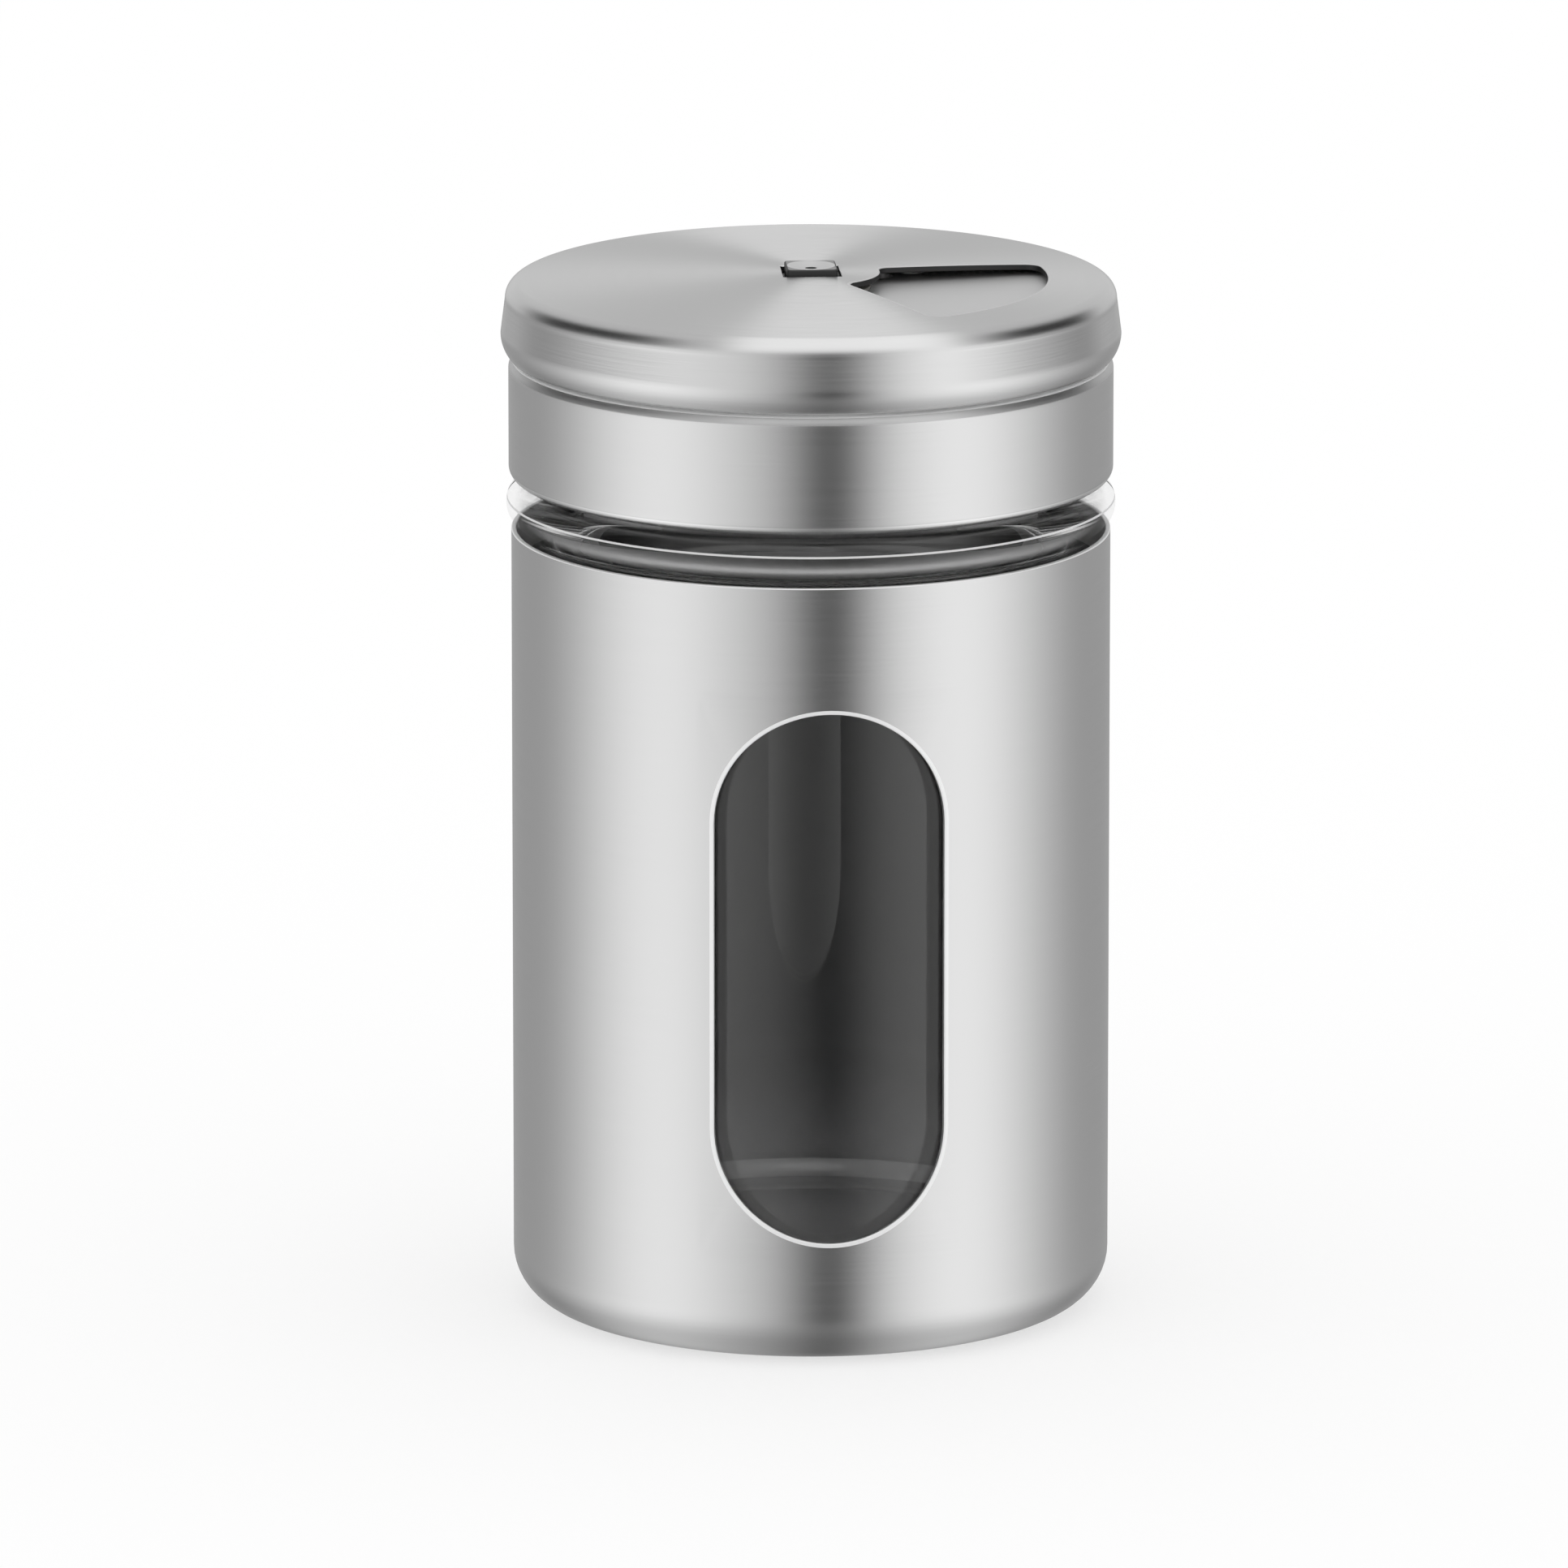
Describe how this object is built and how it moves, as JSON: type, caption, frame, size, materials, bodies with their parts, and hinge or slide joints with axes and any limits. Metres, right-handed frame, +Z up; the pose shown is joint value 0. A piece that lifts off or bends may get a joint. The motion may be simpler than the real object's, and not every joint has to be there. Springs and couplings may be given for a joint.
{
  "type": "spice shaker",
  "caption": "Round glass spice shaker in a steel sleeve with a viewing window, a screw-on sifter ring and a turning cap with a fan-shaped pour opening.",
  "frame": {"origin": "middle of the base, on the surface the shaker stands on", "axes": "+Z up along the jar's axis, -Y towards the front, where the window is, +X to the right seen from the front"},
  "size_m": [0.0486, 0.0486, 0.083],
  "materials": {
    "sleeve_steel": "brushed round the axis, satin",
    "ring_steel": "brushed round the axis, satin",
    "cap_steel": "spun top with circular brushing, satin",
    "stud_steel": "peened, satin",
    "washer_steel": "stamped, satin",
    "clear_glass": "clear, fire-polished",
    "insert_plastic": "moulded, satin",
    "gasket_silicone": "matt",
    "washer_nylon": "matt"
  },
  "bodies": {
    "jar": {"steel_sleeve": "sleeve_steel", "glass_jar": "clear_glass"},
    "gasket": {"mouth_gasket": "gasket_silicone"},
    "lid": {"sifter_ring": "ring_steel", "thread_insert": "insert_plastic"},
    "cap": {"turning_cap": "cap_steel", "centre_stud": "stud_steel", "nylon_washer": "washer_nylon", "spring_washer": "washer_steel", "back_washer": "washer_steel"}
  },
  "joints": [
    {"name": "lid_rise", "type": "slide", "parent": "jar", "child": "gasket", "axis": [0, 0, 1], "range_m": [0, 0.0147]},
    {"name": "lid_turn", "type": "hinge", "parent": "gasket", "child": "lid", "pos_m": [0, 0, 0.07], "axis": [0, 0, 1], "range_deg": [0, 1260]},
    {"name": "cap_turn", "type": "hinge", "parent": "lid", "child": "cap", "pos_m": [0, 0, 0.0815], "axis": [0, 0, 1], "continuous": true}
  ],
  "couplings": [
    {"joint": "lid_rise", "follows": "lid_turn", "m_per_rad": 0.00066845}
  ]
}
